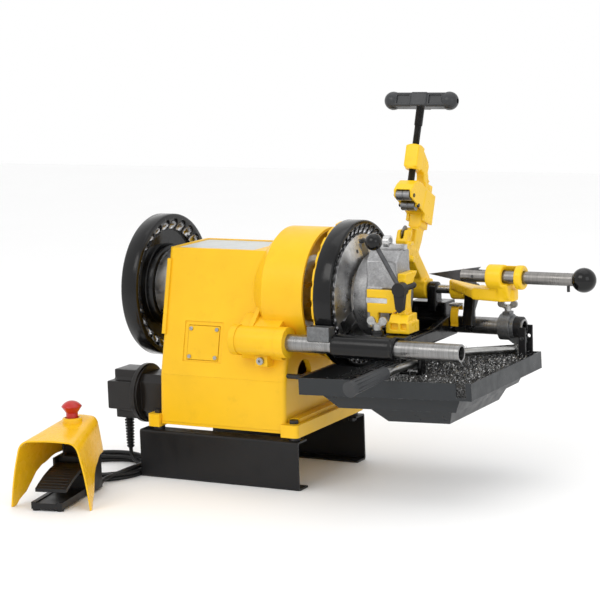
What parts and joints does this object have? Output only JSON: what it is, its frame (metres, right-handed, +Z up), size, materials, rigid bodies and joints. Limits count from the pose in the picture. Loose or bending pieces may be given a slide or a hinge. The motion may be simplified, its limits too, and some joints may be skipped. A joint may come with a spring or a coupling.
{
  "type": "pipe threading machine",
  "caption": "Electric pipe threading machine: geared hammer chuck, sliding tool carrier with die head, pipe cutter and reamer, oil tray, and a guarded foot switch on a coiled cable.",
  "frame": {"origin": "middle of the footprint on the floor, foot switch included and cable left out", "axes": "+X along the spindle from the rear centring wheel towards the oil tray, -Y is the operator's side with the foot switch, +Z up"},
  "size_m": [1.143, 0.6593, 0.7785],
  "materials": {
    "black_enamel": "gloss black casting enamel",
    "black_paint_sheet": "satin black",
    "black_plastic": "moulded black",
    "black_rubber": "matte black",
    "bright_steel": "turned and ground steel",
    "cable_rubber": "semi-gloss black cable jacket",
    "cast_grey": "machined cast iron",
    "dark_steel": "dark oiled steel",
    "dark_tray_paint": "satin dark grey, scuffed",
    "panel_grey": "satin light grey",
    "red_plastic": "moulded red",
    "swarf": "oily fine steel chips",
    "tool_steel": "hardened tool steel",
    "yellow_paint": "gloss, light orange peel",
    "yellow_tool": "gloss yellow tool casting"
  },
  "bodies": {
    "machine_frame": {"foot_channels": "black_paint_sheet", "mounting_bolts": "dark_steel", "base_casting": "yellow_paint", "gear_housing": "yellow_paint", "top_panel": "panel_grey", "access_cover": "yellow_paint", "housing_screws": "dark_steel", "front_guide_tube": "bright_steel", "rear_guide_tube": "bright_steel", "stop_saddle": "cast_grey", "motor_body": "black_plastic", "motor_end_cap": "black_plastic", "motor_strain_relief": "black_rubber", "spindle_bearings": "bright_steel", "oil_tray": "dark_tray_paint", "chip_screen": "dark_tray_paint", "swarf_bed": "swarf", "clamp_ring": "cast_grey", "clamp_fork": "black_paint_sheet", "foot_switch_base": "black_plastic", "foot_switch_guard": "yellow_paint", "cable_coil": "cable_rubber", "switch_cable": "cable_rubber"},
    "motor_rotor": {"motor_rotor": "dark_steel"},
    "idler": {"idler_gear": "dark_steel"},
    "spindle": {"spindle_tube": "bright_steel", "chuck_body": "bright_steel", "rear_jaw_plate": "cast_grey"},
    "front_handwheel": {"chuck_ring": "black_enamel", "chuck_rear_disc": "yellow_paint"},
    "front_jaw_1": {"chuck_jaw_1": "tool_steel"},
    "front_jaw_2": {"chuck_jaw_2": "tool_steel"},
    "front_jaw_3": {"chuck_jaw_3": "tool_steel"},
    "rear_handwheel": {"rear_wheel": "black_enamel"},
    "rear_jaw_a": {"rear_jaw_1": "tool_steel"},
    "rear_jaw_b": {"rear_jaw_2": "tool_steel"},
    "rear_jaw_c": {"rear_jaw_3": "tool_steel"},
    "carrier": {"tool_carrier": "black_enamel", "carrier_guard": "yellow_tool", "tool_pin": "bright_steel"},
    "feed_lever": {"feed_lever": "bright_steel", "lever_grip": "black_rubber"},
    "ring_wing_nut": {"clamp_wing_nut": "bright_steel"},
    "die_head": {"die_head_body": "cast_grey", "die_head_holder": "yellow_tool", "die_adjusting_bar": "bright_steel", "thread_dies": "tool_steel"},
    "closing_lever": {"die_closing_lever": "dark_steel"},
    "head_wing_screw": {"die_wing_screw": "bright_steel"},
    "cutter": {"cutter_frame": "yellow_tool"},
    "cutter_slider": {"cutter_slide": "yellow_tool"},
    "roller_left": {"cutter_roller_1": "tool_steel"},
    "roller_right": {"cutter_roller_2": "tool_steel"},
    "cutting_wheel": {"cutter_wheel": "tool_steel"},
    "cutter_screw": {"cutter_handle": "black_plastic"},
    "reamer_arm": {"reamer_arm": "yellow_tool"},
    "reamer_rod": {"reamer_rod": "bright_steel", "reamer_blade": "tool_steel"},
    "pedal": {"foot_pedal": "black_plastic"},
    "stop_button": {"emergency_button": "red_plastic"}
  },
  "joints": [
    {"name": "spindle_spin", "type": "hinge", "parent": "machine_frame", "child": "spindle", "pos_m": [-0.2343, 0.1423, 0.383], "axis": [1, 0, 0], "continuous": true},
    {"name": "idler_spin", "type": "hinge", "parent": "machine_frame", "child": "idler", "pos_m": [-0.2343, 0.10908, 0.24314], "axis": [1, 0, 0], "continuous": true},
    {"name": "motor_spin", "type": "hinge", "parent": "machine_frame", "child": "motor_rotor", "pos_m": [-0.2343, 0.0723, 0.161], "axis": [1, 0, 0], "continuous": true},
    {"name": "front_handwheel_turn", "type": "hinge", "parent": "spindle", "child": "front_handwheel", "pos_m": [-0.2343, 0.1423, 0.383], "axis": [1, 0, 0], "range_deg": [0, 45]},
    {"name": "front_jaw_1_slide", "type": "slide", "parent": "spindle", "child": "front_jaw_1", "axis": [0, 0, -1], "range_m": [0, 0.03]},
    {"name": "front_jaw_2_slide", "type": "slide", "parent": "spindle", "child": "front_jaw_2", "axis": [0, 0.866, 0.5], "range_m": [0, 0.03]},
    {"name": "front_jaw_3_slide", "type": "slide", "parent": "spindle", "child": "front_jaw_3", "axis": [0, -0.866, 0.5], "range_m": [0, 0.03]},
    {"name": "rear_handwheel_turn", "type": "hinge", "parent": "spindle", "child": "rear_handwheel", "pos_m": [-0.2343, 0.1423, 0.383], "axis": [1, 0, 0], "range_deg": [0, 45]},
    {"name": "rear_jaw_1_slide", "type": "slide", "parent": "spindle", "child": "rear_jaw_a", "axis": [0, 0, -1], "range_m": [0, 0.03]},
    {"name": "rear_jaw_2_slide", "type": "slide", "parent": "spindle", "child": "rear_jaw_b", "axis": [0, 0.866, 0.5], "range_m": [0, 0.03]},
    {"name": "rear_jaw_3_slide", "type": "slide", "parent": "spindle", "child": "rear_jaw_c", "axis": [0, -0.866, 0.5], "range_m": [0, 0.03]},
    {"name": "carrier_slide", "type": "slide", "parent": "machine_frame", "child": "carrier", "axis": [1, 0, 0], "range_m": [0, 0.06]},
    {"name": "feed_lever_swing", "type": "hinge", "parent": "machine_frame", "child": "feed_lever", "pos_m": [0.3107, 0.2923, 0.26], "axis": [0, 0, 1], "range_deg": [0, 13.5]},
    {"name": "ring_wing_nut_turn", "type": "hinge", "parent": "machine_frame", "child": "ring_wing_nut", "pos_m": [0.2857, 0.2923, 0.34], "axis": [0, 0, 1], "continuous": true},
    {"name": "die_head_swing", "type": "hinge", "parent": "carrier", "child": "die_head", "pos_m": [0.0657, 0.2773, 0.377], "axis": [1, 0, 0], "range_deg": [-8, 0]},
    {"name": "closing_lever_turn", "type": "hinge", "parent": "die_head", "child": "closing_lever", "pos_m": [0.1667, 0.0423, 0.412], "axis": [0, 1, 0], "range_deg": [0, 60]},
    {"name": "head_wing_screw_turn", "type": "hinge", "parent": "carrier", "child": "head_wing_screw", "pos_m": [0.1257, 0.0183, 0.33], "axis": [0, 0, 1], "range_deg": [-105, 15]},
    {"name": "cutter_swing", "type": "hinge", "parent": "carrier", "child": "cutter", "pos_m": [0.0957, 0.2773, 0.377], "axis": [1, 0, 0], "range_deg": [0, 8]},
    {"name": "cutter_slide_travel", "type": "slide", "parent": "cutter", "child": "cutter_slider", "axis": [0, 0.3518, 0.9361], "range_m": [-0.018, 0.018]},
    {"name": "cutter_screw_turn", "type": "hinge", "parent": "cutter_slider", "child": "cutter_screw", "pos_m": [0.0957, 0.2463, 0.591], "axis": [0, 0.3518, 0.9361], "range_deg": [-1621, 1621]},
    {"name": "roller_1_spin", "type": "hinge", "parent": "cutter_slider", "child": "roller_left", "pos_m": [0.0957, 0.2182, 0.57592], "axis": [1, 0, 0], "continuous": true},
    {"name": "roller_2_spin", "type": "hinge", "parent": "cutter_slider", "child": "roller_right", "pos_m": [0.0957, 0.23948, 0.55297], "axis": [1, 0, 0], "continuous": true},
    {"name": "cutting_wheel_spin", "type": "hinge", "parent": "cutter", "child": "cutting_wheel", "pos_m": [0.0957, 0.21556, 0.49786], "axis": [1, 0, 0], "continuous": true},
    {"name": "reamer_swing", "type": "hinge", "parent": "carrier", "child": "reamer_arm", "pos_m": [0.1857, 0.2773, 0.377], "axis": [1, 0, 0], "range_deg": [-60, 20]},
    {"name": "reamer_rod_slide", "type": "slide", "parent": "reamer_arm", "child": "reamer_rod", "axis": [1, 0, 0], "range_m": [-0.055, 0.014]},
    {"name": "pedal_press", "type": "hinge", "parent": "machine_frame", "child": "pedal", "pos_m": [-0.46467, -0.19376, 0.06], "axis": [0.9816, 0.1908, 0], "range_deg": [0, 7], "stiffness_Nm_per_rad": 3, "springref_deg": -14.32},
    {"name": "stop_button_press", "type": "slide", "parent": "machine_frame", "child": "stop_button", "axis": [0, 0, -1], "range_m": [0, 0.005]}
  ],
  "couplings": [
    {"joint": "idler_spin", "follows": "spindle_spin", "ratio": -1.0909},
    {"joint": "motor_spin", "follows": "spindle_spin", "ratio": 4.951},
    {"joint": "front_jaw_1_slide", "follows": "front_handwheel_turn", "m_per_rad": 0.03819},
    {"joint": "front_jaw_2_slide", "follows": "front_handwheel_turn", "m_per_rad": 0.03819},
    {"joint": "front_jaw_3_slide", "follows": "front_handwheel_turn", "m_per_rad": 0.03819},
    {"joint": "rear_jaw_1_slide", "follows": "rear_handwheel_turn", "m_per_rad": 0.03819},
    {"joint": "rear_jaw_2_slide", "follows": "rear_handwheel_turn", "m_per_rad": 0.03819},
    {"joint": "rear_jaw_3_slide", "follows": "rear_handwheel_turn", "m_per_rad": 0.03819},
    {"joint": "feed_lever_swing", "follows": "carrier_slide", "rad_per_m": 3.9},
    {"joint": "cutter_screw_turn", "follows": "cutter_slide_travel", "rad_per_m": 1570.8}
  ]
}
